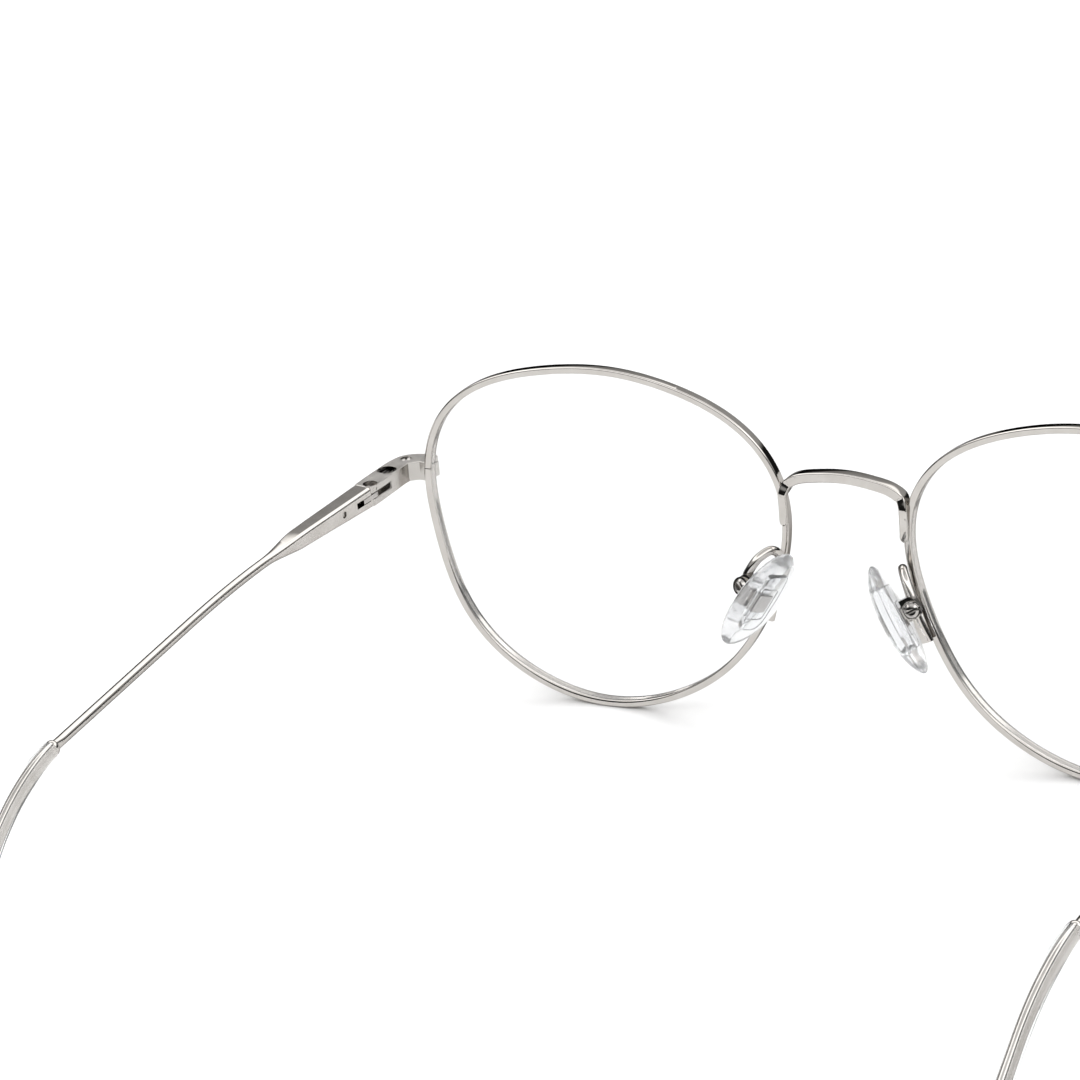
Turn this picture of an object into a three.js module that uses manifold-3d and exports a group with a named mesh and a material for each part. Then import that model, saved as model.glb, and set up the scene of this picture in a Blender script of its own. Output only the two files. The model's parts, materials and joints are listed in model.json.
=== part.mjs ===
// Round wire eyeglasses: a metal full-rim frame with sprung temples, adjustable nose pads and clear tips.
// Millimetres, +Z up. The front faces -Y, the temples run towards +Y, and +X is the wearer's left.
import * as THREE from 'three';
import { mergeVertices } from 'three/addons/utils/BufferGeometryUtils.js';
import Module from 'manifold-3d';

const wasm = await Module();
wasm.setup();

const degrees = THREE.MathUtils.degToRad;

// ---- Driving dimensions -------------------------------------------------------------------------

const FIT = 0.05;                 // gap between pieces that touch
const LENS_CENTRE_X = 35.22;      // half the distance between the lens centres
const BASE_RADIUS = 132;          // radius of the lens surface
const WRAP = degrees(3.15);       // each lens turns back at the temple
const STAND_LEAN = degrees(2.46); // lean of the front, standing on the rims and the temple tips

const RIM_RADIUS = 25.08;         // mean radius of the middle of the rim wire
const RIM_WAVES = [               // departures of the rim from a circle, as waves around it
  { order: 2, cos: 1.02, sin: -0.13 },
  { order: 3, cos: -0.29, sin: 1.17 },
  { order: 4, cos: -0.37, sin: -0.06 },
  { order: 5, cos: -0.09, sin: 0.2 },
  { order: 6, cos: -0.19, sin: -0.06 },
];
const RIM_WIDTH = 0.95;           // across the wire, in the plane of the lens
const RIM_DEPTH = 1.68;           // across the wire, front to back
const GROOVE_DEPTH = 0.32;
const GROOVE_WIDTH = 0.7;
const LENS_THICKNESS = 1.7;

const HINGE = new THREE.Vector3(64.75, 12.92, 5.65); // middle of the left hinge screw
const FLARE = degrees(6.7);       // the side bar points outwards
const DROP = degrees(3.2);        // and down, from the normal of the front
const BAR_INNER = -1.0;           // faces of the side bar, from the hinge screw
const BAR_OUTER = 1.75;
const BAR_MIDDLE = (BAR_INNER + BAR_OUTER) / 2;
const BAR_HALF_HEIGHT = 1.44;
const SEAM = 1.25;                // from the hinge screw back to the end of the endpiece
const SLOT_HEIGHT = 0.86;
const SLOT_DEPTH = 2.2;
const TONGUE_THICKNESS = 0.68;
const PIN_RADIUS = 0.4;

const TEMPLE_LENGTH = 135;        // hinge screw to tip, along the temple
const WIRE_RADIUS = 0.66;
const EAR_BEND_START = 76.5;      // from the hinge screw, along the side bar's direction
const EAR_BEND_RADIUS = 26;
const EAR_BEND_ANGLE = degrees(37);
const SLEEVE_START = 77.5;
const CORE_LENGTH = 38;           // of the wire inside the clear tip

const PAD_CENTRE = new THREE.Vector3(9.8, 8.58, -3.81);
const PAD_LENGTH = 15.4;
const PAD_WIDTH = 9.2;
const PAD_FRONT = 1.95;           // the pad bulges towards the nose
const PAD_BACK_FACE = 1.15;       // and is flatter behind
const PAD_DOWN = new THREE.Vector3(0.52, 0.1, -0.85).normalize();
const PAD_BACK = new THREE.Vector3(0.25, 0.93, 0.27);
const BOX_BEHIND_PAD = 2.5;       // from the middle of the pad to its screw, across the pad
const BOX_ALONG_PAD = -0.35;      // and along the pad

// ---- Materials ----------------------------------------------------------------------------------

const silver = new THREE.MeshStandardMaterial({ color: 0xc9c5c0, roughness: 0.12, metalness: 1 });
const steel = new THREE.MeshStandardMaterial({ color: 0x9b9893, roughness: 0.3, metalness: 1 });
const lensClear = new THREE.MeshStandardMaterial({
  color: 0xf4f8f8, roughness: 0.03, metalness: 0, transparent: true, opacity: 0.2,
});
const softClear = new THREE.MeshStandardMaterial({
  color: 0xe9eaec, roughness: 0.2, metalness: 0, transparent: true, opacity: 0.6,
});

// ---- Solid helpers ------------------------------------------------------------------------------

// A copy with only shared positions, no collapsed triangles, and its faces pointing out.
function cleaned(geometry) {
  const bare = geometry.clone();
  bare.deleteAttribute('normal');
  bare.deleteAttribute('uv');
  const merged = mergeVertices(bare, 1e-4);
  const source = merged.index.array;
  const kept = [];
  for (let i = 0; i < source.length; i += 3) {
    const [a, b, c] = [source[i], source[i + 1], source[i + 2]];
    if (a !== b && b !== c && c !== a) kept.push(a, b, c);
  }
  merged.setIndex(kept);
  return signedVolume(merged) < 0 ? turnedOver(merged) : merged;
}

function signedVolume(geometry) {
  const position = geometry.attributes.position;
  const index = geometry.index.array;
  const [a, b, c] = [new THREE.Vector3(), new THREE.Vector3(), new THREE.Vector3()];
  let total = 0;
  for (let i = 0; i < index.length; i += 3) {
    a.fromBufferAttribute(position, index[i]);
    b.fromBufferAttribute(position, index[i + 1]);
    c.fromBufferAttribute(position, index[i + 2]);
    total += a.dot(b.cross(c)) / 6;
  }
  return total;
}

function turnedOver(geometry) {
  const index = Array.from(geometry.index.array);
  for (let i = 0; i < index.length; i += 3) {
    [index[i + 1], index[i + 2]] = [index[i + 2], index[i + 1]];
  }
  geometry.setIndex(index);
  return geometry;
}

function solid(geometry) {
  const clean = cleaned(geometry);
  return new wasm.Manifold(new wasm.Mesh({
    numProp: 3,
    vertProperties: new Float32Array(clean.attributes.position.array),
    triVerts: new Uint32Array(clean.index.array),
  }));
}

function fromSolid(manifold) {
  const mesh = manifold.getMesh();
  const geometry = new THREE.BufferGeometry();
  geometry.setAttribute('position', new THREE.BufferAttribute(new Float32Array(mesh.vertProperties), 3));
  geometry.setIndex(new THREE.BufferAttribute(new Uint32Array(mesh.triVerts), 1));
  return geometry;
}

function cut(base, ...tools) {
  return fromSolid(tools.reduce((left, tool) => left.subtract(solid(tool)), solid(base)));
}

function join(...geometries) {
  return fromSolid(geometries.slice(1).reduce((sum, next) => sum.add(solid(next)), solid(geometries[0])));
}

function common(first, second) {
  return fromSolid(solid(first).intersect(solid(second)));
}

function mirrored(geometry) {
  return turnedOver(cleaned(geometry).scale(-1, 1, 1));
}

function block(x0, x1, y0, y1, z0, z1) {
  return new THREE.BoxGeometry(x1 - x0, y1 - y0, z1 - z0)
    .translate((x0 + x1) / 2, (y0 + y1) / 2, (z0 + z1) / 2);
}

// A cylinder standing along Z.
function post(radius, z0, z1, sides = 16) {
  return new THREE.CylinderGeometry(radius, radius, z1 - z0, sides)
    .rotateX(Math.PI / 2)
    .translate(0, 0, (z0 + z1) / 2);
}

// A cylinder lying along Y.
function rod(radius, y0, y1, sides = 12) {
  return new THREE.CylinderGeometry(radius, radius, y1 - y0, sides).translate(0, (y0 + y1) / 2, 0);
}

function prism(shape, z0, z1, curveSegments = 8) {
  return new THREE.ExtrudeGeometry(shape, { depth: z1 - z0, bevelEnabled: false, curveSegments })
    .translate(0, 0, z0);
}

// A cylinder bent along a curve. size(t) gives half the width along the side direction, half the
// height, and a squareness from 0, an ellipse, to 1, nearly a rectangle.
function sweep(curve, sides, steps, size, sideways) {
  const geometry = new THREE.CylinderGeometry(1, 1, 1, sides, steps);
  const position = geometry.attributes.position;
  const side = new THREE.Vector3();
  const height = new THREE.Vector3();
  const vertex = new THREE.Vector3();
  for (let i = 0; i < position.count; i += 1) {
    vertex.fromBufferAttribute(position, i);
    const t = THREE.MathUtils.clamp(vertex.y + 0.5, 0, 1);
    const tangent = curve.getTangentAt(t);
    side.copy(sideways).addScaledVector(tangent, -sideways.dot(tangent)).normalize();
    height.crossVectors(tangent, side);
    const { halfWidth, halfHeight, squareness } = size(t);
    const power = 1 - 0.72 * squareness;
    const across = halfWidth * Math.sign(vertex.x) * Math.abs(vertex.x) ** power;
    const upward = halfHeight * Math.sign(vertex.z) * Math.abs(vertex.z) ** power;
    const place = curve.getPointAt(t).addScaledVector(side, across).addScaledVector(height, upward);
    position.setXYZ(i, place.x, place.y, place.z);
  }
  return geometry;
}

const round = (radius) => () => ({ halfWidth: radius, halfHeight: radius, squareness: 0 });

// ---- Frames of the left side --------------------------------------------------------------------

const lensFrame = new THREE.Object3D();
lensFrame.position.set(LENS_CENTRE_X, 0, 0);
lensFrame.rotation.z = WRAP;

const hingeFrame = new THREE.Object3D();
hingeFrame.position.copy(HINGE);
hingeFrame.rotation.set(-DROP, 0, -FLARE, 'XYZ');

const padFrame = new THREE.Object3D();
const padFace = new THREE.Vector3().crossVectors(PAD_DOWN, PAD_BACK).normalize();
const padBack = new THREE.Vector3().crossVectors(padFace, PAD_DOWN).normalize();
padFrame.position.copy(PAD_CENTRE);
padFrame.quaternion.setFromRotationMatrix(new THREE.Matrix4().makeBasis(padBack, padFace, PAD_DOWN));

for (const frame of [lensFrame, hingeFrame, padFrame]) frame.updateMatrixWorld();

function moved(geometry, from, to) {
  const matrix = to.matrixWorld.clone().invert().multiply(from.matrixWorld);
  return geometry.clone().applyMatrix4(matrix);
}

const front = new THREE.Object3D();
front.updateMatrixWorld();

// ---- Rims and lenses ----------------------------------------------------------------------------

function rimRadius(angle) {
  return RIM_WAVES.reduce(
    (sum, { order, cos, sin }) => sum + cos * Math.cos(order * angle) + sin * Math.sin(order * angle),
    RIM_RADIUS,
  );
}

function rimSlope(angle) {
  return RIM_WAVES.reduce(
    (sum, { order, cos, sin }) => sum + order * (sin * Math.cos(order * angle) - cos * Math.sin(order * angle)),
    0,
  );
}

// A point beside the middle of the rim wire, in the lens frame; depth is measured from the lens surface.
function rimPoint(angle, outwards, depth) {
  const radius = rimRadius(angle);
  const slope = rimSlope(angle);
  const length = Math.hypot(radius, slope);
  const radial = radius + outwards * (radius / length);
  const around = -outwards * (slope / length);
  const x = radial * Math.cos(angle) - around * Math.sin(angle);
  const z = radial * Math.sin(angle) + around * Math.cos(angle);
  return new THREE.Vector3(x, depth + (x * x + z * z) / (2 * BASE_RADIUS), z);
}

// A turned ring or disc, drawn on a circle of RIM_RADIUS, fitted to the rim's outline and the lens surface.
function fittedToRim(profile) {
  const outline = profile.map(([x, y]) => new THREE.Vector2(x, y));
  const geometry = new THREE.LatheGeometry(outline, RIM_SEGMENTS);
  const position = geometry.attributes.position;
  for (let i = 0; i < position.count; i += 1) {
    const radius = Math.hypot(position.getX(i), position.getZ(i));
    const angle = Math.atan2(position.getZ(i), position.getX(i));
    const place = rimPoint(angle, radius - RIM_RADIUS, position.getY(i));
    if (radius < RIM_RADIUS / 2) {
      const share = radius / RIM_RADIUS;
      const [x, z] = [rimRadius(angle) * share * Math.cos(angle), rimRadius(angle) * share * Math.sin(angle)];
      place.set(x, position.getY(i) + (x * x + z * z) / (2 * BASE_RADIUS), z);
    }
    position.setXYZ(i, place.x, place.y, place.z);
  }
  return geometry;
}

const RIM_SEGMENTS = 56;

function ring(inner, outer, back, frontSide) {
  const profile = [[inner, frontSide], [outer, frontSide], [outer, back], [inner, back], [inner, frontSide]];
  return fittedToRim(profile.map(([x, y]) => [RIM_RADIUS + x, y]));
}

const LOCK_ANGLE = degrees(15.6); // where the rim is split, between the two closing blocks
const LOCK_GAP = 0.12;

function rimGeometry() {
  const [out, half, groove] = [RIM_WIDTH / 2, RIM_DEPTH / 2, GROOVE_WIDTH / 2];
  const [soft, crisp] = [0.28, 0.14];
  const profile = [
    [out, -half + soft], [out, half - soft], [out - soft, half], [crisp - out, half],
    [-out, half - crisp], [-out, groove], [GROOVE_DEPTH - out, 0], [-out, -groove],
    [-out, crisp - half], [crisp - out, -half], [out - soft, -half], [out, -half + soft],
  ].map(([x, y]) => [RIM_RADIUS + x, y]);
  const wire = fittedToRim(profile);
  const place = rimPoint(LOCK_ANGLE, 0, 0);
  const split = block(-2, 2, -2, 2, -LOCK_GAP / 2, LOCK_GAP / 2)
    .rotateX(degrees(-22))
    .translate(place.x, place.y, place.z);
  return cut(wire, split);
}

function lensGeometry() {
  const half = LENS_THICKNESS / 2;
  const edge = RIM_RADIUS - RIM_WIDTH / 2 - 0.06;
  const ridge = edge + GROOVE_DEPTH - 0.06;
  const ridgeHalf = GROOVE_WIDTH / 2 - 0.06;
  return fittedToRim([
    [0, -half], [RIM_RADIUS * 0.45, -half], [edge, -half], [edge, -ridgeHalf], [ridge, 0],
    [edge, ridgeHalf], [edge, half], [RIM_RADIUS * 0.45, half], [0, half],
  ]);
}

// The space that the rim wire takes, with the usual gap around it.
function rimRoom() {
  const [across, deep] = [RIM_WIDTH / 2 + FIT, RIM_DEPTH / 2 + FIT];
  return ring(-across, across, deep, -deep);
}

// ---- Bridge -------------------------------------------------------------------------------------

const BRIDGE_HALF_SPAN = 8.9;
const BRIDGE_TOP = 12.15;         // middle of the bar, above the lens centres
const BRIDGE_HALF_HEIGHT = 0.68;
const BRIDGE_HALF_DEPTH = 0.95;
const FOOT_WIDTH = 1.12;
const FOOT_THICKNESS = 0.8;
const FOOT_END = new THREE.Vector2(8.5, 5.15);
const FOOT_TOP = new THREE.Vector2(8.42, 9.6);

function bridgeFoot() {
  const along = new THREE.Vector2().subVectors(FOOT_TOP, FOOT_END);
  const reach = along.length();
  const tilt = Math.atan2(along.x, along.y);
  const half = FOOT_WIDTH / 2;
  const outline = new THREE.Shape()
    .moveTo(half, 0)
    .lineTo(half + 0.3, reach)
    .lineTo(-half, reach)
    .lineTo(-half, 0)
    .absarc(0, 0, half, Math.PI, 2 * Math.PI, false);
  const capsule = prism(outline, -5, 0, 6)
    .rotateX(Math.PI / 2)
    .scale(-1, 1, 1)
    .rotateY(tilt)
    .translate(FOOT_END.x, 0, FOOT_END.y);
  const back = RIM_DEPTH / 2 + FIT;
  const band = moved(ring(-1.6, 1.9, back + FOOT_THICKNESS, back), lensFrame, front);
  return common(capsule, band);
}

function bridgeGeometry() {
  const arch = new THREE.CatmullRomCurve3([
    new THREE.Vector3(-BRIDGE_HALF_SPAN, 1.75, 9.25),
    new THREE.Vector3(-7.1, 1.85, 11.0),
    new THREE.Vector3(-3.6, 1.75, BRIDGE_TOP - 0.28),
    new THREE.Vector3(0, 1.7, BRIDGE_TOP),
    new THREE.Vector3(3.6, 1.75, BRIDGE_TOP - 0.28),
    new THREE.Vector3(7.1, 1.85, 11.0),
    new THREE.Vector3(BRIDGE_HALF_SPAN, 1.75, 9.25),
  ]);
  const size = () => ({
    halfWidth: BRIDGE_HALF_DEPTH, halfHeight: BRIDGE_HALF_HEIGHT, squareness: 0.75,
  });
  const bar = sweep(arch, 12, 22, size, new THREE.Vector3(0, 1, 0));
  const room = moved(rimRoom(), lensFrame, front);
  const foot = bridgeFoot();
  const trimmed = cut(bar, room, mirrored(room));
  return join(trimmed, foot, mirrored(foot));
}

// ---- Nose pads: arm, box, screw, insert and pad -------------------------------------------------

const BOX_HALF_LENGTH = 1.5;      // along the pad
const BOX_HALF_WIDTH = 1.3;       // front to back, along the pad screw
const BOX_HALF_DEPTH = 1.05;      // towards the pad
const BOX_WALL = 0.32;
const BOX_MIDDLE = BOX_ALONG_PAD - 0.25;
const PAD_SCREW_RADIUS = 0.42;
const PAD_ARM_RADIUS = 0.61;
const STEM_HALF_WIDTH = 0.85;
const EYE_HALF = 0.75;            // radius of the insert's eye, around the pad screw

// In the pad frame X runs to the wearer, Y away from the nose, and Z down along the pad.
function padArm() {
  const line = new THREE.CatmullRomCurve3([
    new THREE.Vector3(11.55, 2.75, -8.55),
    new THREE.Vector3(10.2, 2.9, -5.8),
    new THREE.Vector3(9.1, 3.2, -1.7),
    new THREE.Vector3(8.8, 3.9, 0.9),
    new THREE.Vector3(9.3, 5.2, 1.95),
    new THREE.Vector3(10.45, 6.95, 1.25),
    new THREE.Vector3(11.6, 7.65, -0.6),
  ]);
  const size = (t) => ({
    halfWidth: PAD_ARM_RADIUS * (1 + 0.5 * Math.max(0, 1 - t / 0.25)),
    halfHeight: PAD_ARM_RADIUS,
    squareness: 0.5 * Math.max(0, 1 - t / 0.25),
  });
  const arm = sweep(line, 10, 20, size, new THREE.Vector3(1, 0, 0.3).normalize());
  return cut(arm, moved(rimRoom(), lensFrame, front), moved(padBoxHull(FIT), padFrame, front));
}

// The outside of the box: an oval tube across the pad, rounded away from it.
function padBoxHull(grow = 0) {
  const [length, depth] = [BOX_HALF_LENGTH + grow, BOX_HALF_DEPTH + grow];
  const outline = new THREE.Shape()
    .moveTo(-length, -depth)
    .lineTo(length, -depth)
    .lineTo(length, 0.1)
    .absellipse(0, 0.1, length, depth - 0.1, 0, Math.PI, false);
  return prism(outline, -BOX_HALF_WIDTH - grow, BOX_HALF_WIDTH + grow, 8)
    .rotateY(Math.PI / 2)
    .translate(0, BOX_BEHIND_PAD, BOX_MIDDLE);
}

function padBox() {
  const hollow = block(
    BOX_WALL - BOX_HALF_WIDTH, BOX_HALF_WIDTH - BOX_WALL,
    BOX_BEHIND_PAD - BOX_HALF_DEPTH - 1, BOX_BEHIND_PAD + BOX_HALF_DEPTH - BOX_WALL,
    BOX_MIDDLE + BOX_WALL - BOX_HALF_LENGTH, BOX_MIDDLE + BOX_HALF_LENGTH - BOX_WALL,
  );
  const boss = rod(1.25, BOX_HALF_WIDTH - 0.05, BOX_HALF_WIDTH + 0.3, 20).rotateZ(-Math.PI / 2)
    .translate(0, BOX_BEHIND_PAD, BOX_ALONG_PAD);
  const bore = rod(PAD_SCREW_RADIUS + FIT, -3, 3).rotateZ(-Math.PI / 2)
    .translate(0, BOX_BEHIND_PAD, BOX_ALONG_PAD);
  const seat = rod(1.02, BOX_HALF_WIDTH + 0.02, 3, 18).rotateZ(-Math.PI / 2)
    .translate(0, BOX_BEHIND_PAD, BOX_ALONG_PAD);
  return cut(join(padBoxHull(), boss), hollow, bore, seat);
}

function padScrew() {
  const shank = rod(PAD_SCREW_RADIUS, -BOX_HALF_WIDTH - 0.15, BOX_HALF_WIDTH + 0.2);
  const head = rod(0.96, BOX_HALF_WIDTH + 0.08, BOX_HALF_WIDTH + 0.34, 18);
  const dome = new THREE.CylinderGeometry(0.62, 0.96, 0.3, 18).translate(0, BOX_HALF_WIDTH + 0.48, 0);
  const slot = block(-1.2, 1.2, BOX_HALF_WIDTH + 0.42, BOX_HALF_WIDTH + 1, -0.13, 0.13);
  return cut(join(shank, head, dome), slot).rotateZ(-Math.PI / 2).translate(0, BOX_BEHIND_PAD, BOX_ALONG_PAD);
}

const INSERT_PLATE = { halfWidth: 1.05, halfLength: 1.3, thickness: 0.45 };

// A plate moulded into the back of the pad, with a stem that the pad screw passes through.
function padInsert() {
  const { halfWidth, halfLength, thickness } = INSERT_PLATE;
  const back = PAD_BACK_FACE - 0.2;
  const plate = block(-halfWidth, halfWidth, back - thickness, back, -halfLength, halfLength);
  const stem = block(
    -STEM_HALF_WIDTH, STEM_HALF_WIDTH, back - 0.1, BOX_BEHIND_PAD + 0.05,
    BOX_ALONG_PAD - EYE_HALF, BOX_ALONG_PAD + EYE_HALF,
  );
  const eye = rod(EYE_HALF, -STEM_HALF_WIDTH, STEM_HALF_WIDTH, 12).rotateZ(-Math.PI / 2)
    .translate(0, BOX_BEHIND_PAD, BOX_ALONG_PAD);
  const bore = rod(PAD_SCREW_RADIUS + FIT, -3, 3, 12).rotateZ(-Math.PI / 2)
    .translate(0, BOX_BEHIND_PAD, BOX_ALONG_PAD);
  return cut(join(plate, stem, eye), bore);
}

function nosePad() {
  const profile = [
    [0, -PAD_FRONT], [0.42, -PAD_FRONT * 0.9], [0.74, -PAD_FRONT * 0.62], [0.94, -PAD_FRONT * 0.25],
    [1, 0.1], [0.95, 0.55], [0.82, 0.9], [0.6, PAD_BACK_FACE], [0, PAD_BACK_FACE],
  ].map(([x, y]) => new THREE.Vector2(x, y));
  const pad = new THREE.LatheGeometry(profile, 28).scale(PAD_WIDTH / 2, 1, PAD_LENGTH / 2);
  const { halfWidth, halfLength, thickness } = INSERT_PLATE;
  const pocket = block(
    -halfWidth - FIT, halfWidth + FIT, PAD_BACK_FACE - 0.2 - thickness - FIT, PAD_BACK_FACE + 1,
    -halfLength - FIT, halfLength + FIT,
  );
  return cut(pad, pocket);
}

// ---- Endpiece, closing block and their screws, in the hinge frame -------------------------------

const BAR_FRONT = -11.5;          // front of the endpiece, from the hinge screw
const CORNER_INSIDE = -7.5;
const LOCK_SCREW = { x: 0.36, y: -8.8 };
const COVER_SCREW = { x: 0.53, y: -4.6 };
const COVER_HEAD_RADIUS = 1.27;
const COVER_SEAT_DEPTH = 0.5;
const PIN_SEAT_DEPTH = 0.8;
const BLOCK_SPLIT = 0.55;         // top of the closing block, under the endpiece

function barOutline() {
  const knuckle = SEAM - 0.02;
  const start = Math.acos(BAR_INNER / knuckle);
  return new THREE.Shape()
    .moveTo(BAR_OUTER, SEAM)
    .lineTo(0, SEAM)
    .absarc(0, 0, knuckle, Math.PI / 2, start, false)
    .lineTo(BAR_INNER + 0.1, CORNER_INSIDE)
    .lineTo(-1.9, -8.6)
    .lineTo(-3.1, -8.75)
    .lineTo(-3.1, BAR_FRONT)
    .quadraticCurveTo(-1.2, BAR_FRONT, 0.5, -10.3)
    .quadraticCurveTo(BAR_OUTER + 0.3, -9.3, BAR_OUTER + 0.27, -6.2)
    .quadraticCurveTo(BAR_OUTER + 0.25, -2.5, BAR_OUTER, SEAM);
}

// The side view: the bar grows towards the hinge.
function barHeight() {
  const side = new THREE.Shape()
    .moveTo(2, BAR_HALF_HEIGHT)
    .lineTo(2, -BAR_HALF_HEIGHT)
    .lineTo(-0.6, -BAR_HALF_HEIGHT)
    .quadraticCurveTo(-3.5, -BAR_HALF_HEIGHT + 0.05, -7.2, -1.2)
    .lineTo(-12, -1.5)
    .lineTo(-12, BAR_HALF_HEIGHT);
  return prism(side, -5, 5).rotateX(Math.PI / 2).rotateZ(Math.PI / 2);
}

// The closing block fills a notch in the front and underside of the endpiece.
function closingRoom(grow) {
  const rimEnd = block(-5, 1.2 + grow, -13, grow - 9.2, -3, BLOCK_SPLIT + grow);
  const screwEnd = block(-0.4 - grow, 1.2 + grow, -10, grow - 7.9, -3, BLOCK_SPLIT + grow);
  return join(rimEnd, screwEnd);
}

function endpieceBlank() {
  const blank = common(prism(barOutline(), -2, 2, 6), barHeight());
  return cut(blank, moved(rimRoom(), lensFrame, hingeFrame));
}

function hingeSlot() {
  const half = SLOT_HEIGHT / 2;
  const bottom = BAR_INNER + SLOT_DEPTH;
  const outline = new THREE.Shape()
    .moveTo(BAR_INNER - 1, 3)
    .lineTo(BAR_INNER - 1, -3.5)
    .lineTo(BAR_INNER, -3.3)
    .quadraticCurveTo(0.4, -3.3, bottom, -2.3)
    .lineTo(bottom, 3);
  return prism(outline, -half, half, 5);
}

function endpieceGeometry() {
  const lockBore = post(0.42, -2.2, 3).translate(LOCK_SCREW.x, LOCK_SCREW.y, 0);
  const lockSeat = post(0.76, BAR_HALF_HEIGHT - 0.35, 3).translate(LOCK_SCREW.x, LOCK_SCREW.y, 0);
  const coverSeat = post(COVER_HEAD_RADIUS + FIT, BAR_HALF_HEIGHT - COVER_SEAT_DEPTH, 3, 28)
    .translate(COVER_SCREW.x, COVER_SCREW.y, 0);
  const coverBore = post(0.55, 0.5, 3).translate(COVER_SCREW.x, COVER_SCREW.y, 0);
  const pinBore = post(PIN_RADIUS + FIT, -3, 3);
  const pinSeat = post(1.0, BAR_HALF_HEIGHT - PIN_SEAT_DEPTH, 3, 20);
  return cut(
    endpieceBlank(), closingRoom(FIT), hingeSlot(), lockBore, lockSeat, coverSeat, coverBore, pinBore, pinSeat,
  );
}

function closingBlockGeometry() {
  const bore = post(0.42, -1.1, 3).translate(LOCK_SCREW.x, LOCK_SCREW.y, 0);
  return cut(common(endpieceBlank(), closingRoom(0)), bore);
}

// A slotted screw with its head up.
function slottedScrew(headRadius, headTop, headHeight, shankRadius, shankEnd) {
  const slot = block(-0.11, 0.11, -2, 2, headTop - headHeight * 0.6, headTop + 1)
    .rotateZ(degrees(35));
  const head = post(headRadius, headTop - headHeight, headTop, 18);
  return cut(join(head, post(shankRadius, shankEnd, headTop - headHeight / 2)), slot);
}

function lockScrewGeometry() {
  return slottedScrew(0.69, BAR_HALF_HEIGHT - 0.04, 0.26, 0.36, -0.95)
    .translate(LOCK_SCREW.x, LOCK_SCREW.y, 0);
}

// The cover screw's broad head is dished.
function coverScrewGeometry() {
  const top = BAR_HALF_HEIGHT - 0.03;
  const dish = [1, 0.8, 0.6, 0.4, 0.2].map(
    (share) => new THREE.Vector2(share * (COVER_HEAD_RADIUS - 0.06), top - 0.3 * (1 - share * share)),
  );
  const head = new THREE.LatheGeometry([
    new THREE.Vector2(0, BAR_HALF_HEIGHT - COVER_SEAT_DEPTH + 0.01),
    new THREE.Vector2(COVER_HEAD_RADIUS, BAR_HALF_HEIGHT - COVER_SEAT_DEPTH + 0.01),
    new THREE.Vector2(COVER_HEAD_RADIUS, top),
    ...dish,
    new THREE.Vector2(0, top - 0.3),
  ], 28).rotateX(Math.PI / 2);
  return join(head, post(0.48, 0.56, 1))
    .translate(COVER_SCREW.x, COVER_SCREW.y, 0);
}

function hingeScrewGeometry() {
  return slottedScrew(0.92, BAR_HALF_HEIGHT - PIN_SEAT_DEPTH + 0.35, 0.3, PIN_RADIUS, -BAR_HALF_HEIGHT + 0.1);
}

// ---- Sprung hinge: washer, tongue, bush, spring and catch pin -----------------------------------

const EYE_RADIUS = 1.0;
const TONGUE_END = 2.9;           // of the broad part of the tongue
const SLOT_END = 4.45;            // of the slot in the temple
const BUSH_START = SLOT_END + 0.35;
const BUSH_LENGTH = 3.5;
const BUSH_END = BUSH_START + BUSH_LENGTH;
const BORE_RADIUS = 0.8;
const BORE_END = 16.0;
const SPRING_START = BUSH_END + 0.1;
const SPRING_LENGTH = 4.6;
const SPRING_TURNS = 6;
const SPRING_WIRE = 0.13;
const PISTON_START = SPRING_START + SPRING_LENGTH + 0.6;
const ROD_RADIUS = 0.26;
const CATCH_PIN_Y = BUSH_START + 2.5;
const CATCH_PIN_RADIUS = 0.42;

function hingeWasher() {
  const outer = TONGUE_THICKNESS / 2;
  return cut(post(0.85, -outer, -outer + 0.12, 16), post(PIN_RADIUS + 0.06, -2, 2, 12));
}

function hingeTongue() {
  const half = TONGUE_THICKNESS / 2;
  const bar = block(-EYE_RADIUS, BAR_MIDDLE + 0.5, 0, TONGUE_END, -half, half);
  const eye = post(EYE_RADIUS, -half, half, 20);
  const shaft = rod(ROD_RADIUS, TONGUE_END - 0.3, PISTON_START + 0.2, 10).translate(BAR_MIDDLE, 0, 0);
  const piston = rod(BORE_RADIUS - 0.08, PISTON_START, PISTON_START + 0.9).translate(BAR_MIDDLE, 0, 0);
  const room = post(0.91, -1, -half + 0.12 + 0.04, 16);
  return cut(join(eye, bar, shaft, piston), post(PIN_RADIUS + FIT, -2, 2, 12), room);
}

function hingeBush() {
  const outside = rod(BORE_RADIUS - FIT, BUSH_START, BUSH_END, 14).translate(BAR_MIDDLE, 0, 0);
  const bore = rod(ROD_RADIUS + 0.07, 0, 20).translate(BAR_MIDDLE, 0, 0);
  const catchHole = rod(CATCH_PIN_RADIUS + FIT, -5, BAR_MIDDLE - 0.58)
    .rotateZ(-Math.PI / 2)
    .translate(0, CATCH_PIN_Y, 0);
  return cut(outside, bore, catchHole);
}

function catchPin() {
  return rod(CATCH_PIN_RADIUS, BAR_INNER + 0.25, BAR_MIDDLE - 0.63)
    .rotateZ(-Math.PI / 2)
    .translate(0, CATCH_PIN_Y, 0);
}

class SpringLine extends THREE.Curve {
  getPoint(t, target = new THREE.Vector3()) {
    const angle = t * SPRING_TURNS * 2 * Math.PI;
    const radius = BORE_RADIUS - SPRING_WIRE - 0.08;
    return target.set(
      BAR_MIDDLE + radius * Math.cos(angle),
      SPRING_START + SPRING_WIRE + t * (SPRING_LENGTH - 2 * SPRING_WIRE),
      radius * Math.sin(angle),
    );
  }
}

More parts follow.
